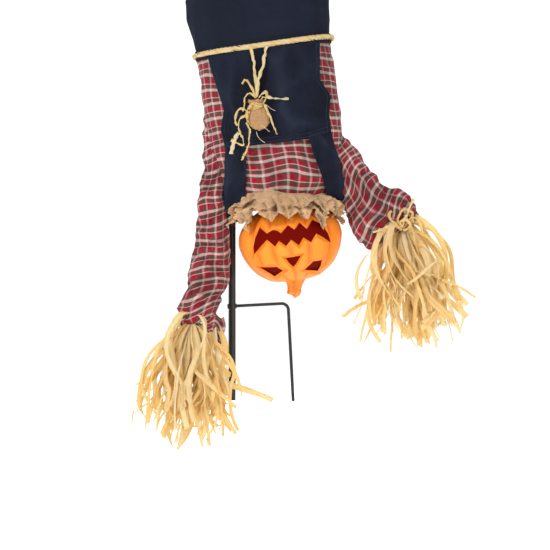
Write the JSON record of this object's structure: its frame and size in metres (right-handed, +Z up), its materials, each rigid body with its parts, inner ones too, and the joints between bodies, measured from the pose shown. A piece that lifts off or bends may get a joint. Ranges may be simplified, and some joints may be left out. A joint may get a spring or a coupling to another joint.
{
  "type": "scarecrow figure",
  "caption": "Hanging upside-down scarecrow with a lit jack-o'-lantern head, posable straw-handed arms and legs, denim overalls and a plaid shirt, on a step-in ground stake.",
  "frame": {"origin": "centre of the main pole's lower end", "axes": "+Z up along the pole, +X to the viewer's right, the figure's front faces -Y"},
  "size_m": [0.7381, 0.248, 1.5072],
  "materials": {
    "steel_black": "satin black paint, a little worn",
    "plug_plastic": "matte",
    "bare_steel": "zinc plated",
    "pumpkin_orange": "moulded, soft satin",
    "red_film": "translucent film",
    "socket_plastic": "matte",
    "led": "clear epoxy",
    "cable_black": "soft",
    "box_plastic": "fine textured",
    "cell_wrap": "plain wrap",
    "stuffing": "loose fibre",
    "plaid_flannel": "brushed flannel, woven plaid",
    "denim": "dark denim twill",
    "burlap": "open plain weave",
    "raffia": "crinkled dry strips",
    "black_tape": "matte"
  },
  "bodies": {
    "stake": {"step_prong": "steel_black", "prong_welds": "steel_black", "lower_pole": "steel_black", "pole_end_cap": "plug_plastic"},
    "figure": {"upper_pole": "steel_black", "pole_spigot": "bare_steel", "spigot_rivet": "bare_steel", "pole_top_plug": "plug_plastic", "shoulder_bar": "steel_black", "shoulder_bolts": "bare_steel", "frame_welds": "steel_black", "hip_yoke": "steel_black", "hip_bar": "steel_black", "hip_retainers": "bare_steel", "neck_post": "steel_black", "neck_clip": "bare_steel", "lamp_holder": "socket_plastic", "lamp_leds": "led", "lamp_cable": "cable_black", "battery_box": "box_plastic", "battery_cells": "cell_wrap", "battery_contacts": "bare_steel", "torso_stuffing": "stuffing", "seat_stuffing": "stuffing", "shirt_body": "plaid_flannel", "overalls_seat": "denim", "overalls_bib": "denim", "hanging_side_strap": "denim", "raised_side_strap": "denim", "collar_ruffle": "burlap", "waist_raffia": "raffia", "pouch": "burlap", "pouch_raffia": "raffia"},
    "head": {"head_shell": "pumpkin_orange", "head_liner": "red_film", "head_socket": "socket_plastic", "head_screws": "bare_steel"},
    "battery_cover": {"battery_door": "box_plastic"},
    "switch_slider": {"power_switch": "box_plastic"},
    "hanging_arm": {"hanging_arm_wire": "bare_steel", "hanging_sleeve": "plaid_flannel", "hanging_arm_stuffing": "stuffing"},
    "hanging_hand": {"hanging_hand_hanger": "bare_steel", "hanging_hand_straw": "raffia", "hanging_hand_tie": "black_tape"},
    "raised_arm": {"raised_arm_wire": "bare_steel", "raised_sleeve": "plaid_flannel", "raised_arm_stuffing": "stuffing"},
    "raised_hand": {"raised_hand_hanger": "bare_steel", "raised_hand_straw": "raffia", "raised_hand_tie": "black_tape"},
    "pole_side_leg": {"pole_side_leg_frame": "steel_black", "pole_side_leg_cloth": "denim", "pole_side_leg_stuffing": "stuffing", "pole_side_leg_straw": "raffia"},
    "open_side_leg": {"open_side_leg_frame": "steel_black", "open_side_leg_cloth": "denim", "open_side_leg_stuffing": "stuffing", "open_side_leg_straw": "raffia"}
  },
  "joints": [
    {"name": "pole_plug", "type": "slide", "parent": "stake", "child": "figure", "axis": [0, 0, 1], "range_m": [0, 0.085]},
    {"name": "head_turn", "type": "hinge", "parent": "figure", "child": "head", "pos_m": [0.13026, -0.026, 0.35521], "axis": [-0.1392, 0, 0.9903], "range_deg": [-30, 30]},
    {"name": "battery_door_slide", "type": "slide", "parent": "figure", "child": "battery_cover", "axis": [0.1392, 0, -0.9903], "range_m": [0, 0.06]},
    {"name": "power_switch_slide", "type": "slide", "parent": "figure", "child": "switch_slider", "axis": [0.9903, 0, 0.1392], "range_m": [0, 0.006]},
    {"name": "hanging_shoulder", "type": "hinge", "parent": "figure", "child": "hanging_arm", "pos_m": [-0.04544, -0.0171, 0.45573], "axis": [0, 1, 0], "range_deg": [0, 70]},
    {"name": "hanging_wrist", "type": "hinge", "parent": "hanging_arm", "child": "hanging_hand", "pos_m": [-0.077, -0.066, 0.188], "axis": [0, 1, 0], "range_deg": [-20, 30]},
    {"name": "raised_shoulder", "type": "hinge", "parent": "figure", "child": "raised_arm", "pos_m": [0.26154, -0.0171, 0.49888], "axis": [0, -1, 0], "range_deg": [0, 40]},
    {"name": "raised_wrist", "type": "hinge", "parent": "raised_arm", "child": "raised_hand", "pos_m": [0.376, -0.044, 0.392], "axis": [0, -1, 0], "range_deg": [0, 30]},
    {"name": "pole_side_hip", "type": "hinge", "parent": "figure", "child": "pole_side_leg", "pos_m": [-0.02371, -0.013, 0.93341], "axis": [0.9903, 0, 0.1392], "range_deg": [-30, 45]},
    {"name": "open_side_hip", "type": "hinge", "parent": "figure", "child": "open_side_leg", "pos_m": [0.11889, -0.013, 0.95345], "axis": [0.9903, 0, 0.1392], "range_deg": [-30, 45]}
  ]
}
